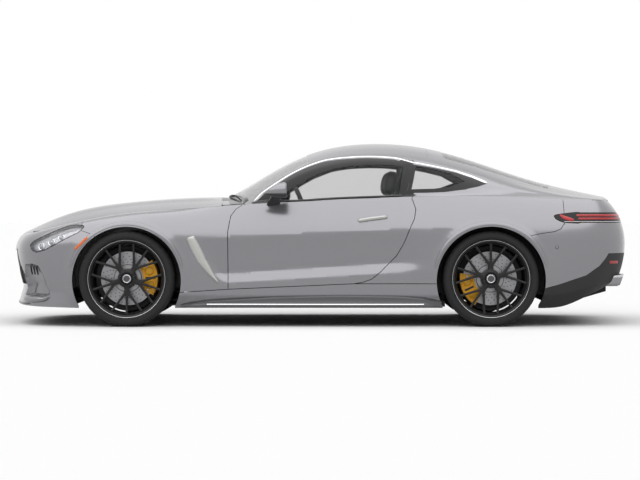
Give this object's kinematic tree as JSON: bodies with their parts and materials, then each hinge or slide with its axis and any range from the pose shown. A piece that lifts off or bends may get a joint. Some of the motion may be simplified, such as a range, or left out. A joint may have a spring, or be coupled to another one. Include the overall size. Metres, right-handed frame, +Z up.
{
  "type": "two-door grand touring coupe",
  "caption": "Low fastback two-door coupe with long hood, frameless doors, lifting tailgate, steered front wheels and wide alloy wheels in dark arches.",
  "frame": {"origin": "on the ground under the centre of the car's bounding box", "axes": "+X towards the tail, nose towards -X, +Y to the car's right, +Z up"},
  "size_m": [4.728, 2.096, 1.3798],
  "materials": {
    "paint": "gloss",
    "black_trim": "satin",
    "glass": "clear",
    "lamp_clear": "clear",
    "lamp_red": "gloss",
    "bright_trim": "polished",
    "structure": "satin",
    "engine": "matte",
    "steel": "satin",
    "wheel_black": "satin",
    "tyre": "matte",
    "caliper": "gloss",
    "leather": "grain",
    "cabin_trim": "grain"
  },
  "bodies": {
    "body": {"calipers_rear": "caliper", "centre_console": "cabin_trim", "cowl_panel": "black_trim", "dashboard": "cabin_trim", "engine_block": "engine", "exhaust_tips": "bright_trim", "fender_vents": "bright_trim", "firewall": "structure", "floor_pan": "structure", "front_bumper": "paint", "front_fenders": "paint", "front_frame": "structure", "grille": "black_trim", "headlamps": "lamp_clear", "quarter_panels": "paint", "quarter_windows": "glass", "rear_bumper": "paint", "rear_diffuser": "black_trim", "rear_seats": "leather", "roof_frame": "paint", "seat_left": "leather", "seat_right": "leather", "side_skirts": "black_trim", "sills": "paint", "steering_wheel": "leather", "suspension_rear": "steel", "tail_lamps": "lamp_red", "wheel_liners": "black_trim", "windscreen": "glass"},
    "door_left": {"door_left": "paint", "door_glass_left": "glass", "mirror_left": "paint"},
    "knuckle_front_left": {"knuckle_front_left": "steel", "caliper_front_left": "caliper"},
    "wheel_front_left": {"rim_front_left": "wheel_black", "tyre_front_left": "tyre"},
    "wheel_rear_left": {"rim_rear_left": "wheel_black", "tyre_rear_left": "tyre"},
    "door_right": {"door_right": "paint", "door_glass_right": "glass", "mirror_right": "paint"},
    "knuckle_front_right": {"knuckle_front_right": "steel", "caliper_front_right": "caliper"},
    "wheel_front_right": {"rim_front_right": "wheel_black", "tyre_front_right": "tyre"},
    "wheel_rear_right": {"rim_rear_right": "wheel_black", "tyre_rear_right": "tyre"},
    "hood": {"hood": "paint"},
    "tailgate": {"tailgate": "paint", "rear_window": "glass"}
  },
  "joints": [
    {"name": "door_left_hinge", "type": "hinge", "parent": "body", "child": "door_left", "pos_m": [-0.764, -0.908, 0.54], "axis": [0, 0, -1], "range_deg": [0, 62]},
    {"name": "door_right_hinge", "type": "hinge", "parent": "body", "child": "door_right", "pos_m": [-0.764, 0.908, 0.54], "axis": [0, 0, 1], "range_deg": [0, 62]},
    {"name": "hood_hinge", "type": "hinge", "parent": "body", "child": "hood", "pos_m": [-0.623, 0, 0.897], "axis": [0, 1, 0], "range_deg": [0, 48]},
    {"name": "tailgate_hinge", "type": "hinge", "parent": "body", "child": "tailgate", "pos_m": [0.736, 0, 1.308], "axis": [0, -1, 0], "range_deg": [0, 58]},
    {"name": "steer_left", "type": "hinge", "parent": "body", "child": "knuckle_front_left", "pos_m": [-1.433, -0.742, 0.355], "axis": [0, 0, 1], "range_deg": [-33, 33]},
    {"name": "steer_right", "type": "hinge", "parent": "body", "child": "knuckle_front_right", "pos_m": [-1.433, 0.742, 0.355], "axis": [0, 0, 1], "range_deg": [-33, 33]},
    {"name": "wheel_front_left_spin", "type": "hinge", "parent": "knuckle_front_left", "child": "wheel_front_left", "pos_m": [-1.433, -0.822, 0.355], "axis": [0, 1, 0], "continuous": true},
    {"name": "wheel_rear_left_spin", "type": "hinge", "parent": "body", "child": "wheel_rear_left", "pos_m": [1.267, -0.822, 0.355], "axis": [0, 1, 0], "continuous": true},
    {"name": "wheel_front_right_spin", "type": "hinge", "parent": "knuckle_front_right", "child": "wheel_front_right", "pos_m": [-1.433, 0.822, 0.355], "axis": [0, 1, 0], "continuous": true},
    {"name": "wheel_rear_right_spin", "type": "hinge", "parent": "body", "child": "wheel_rear_right", "pos_m": [1.267, 0.822, 0.355], "axis": [0, 1, 0], "continuous": true}
  ],
  "couplings": [
    {"joint": "steer_right", "follows": "steer_left", "ratio": 1}
  ]
}
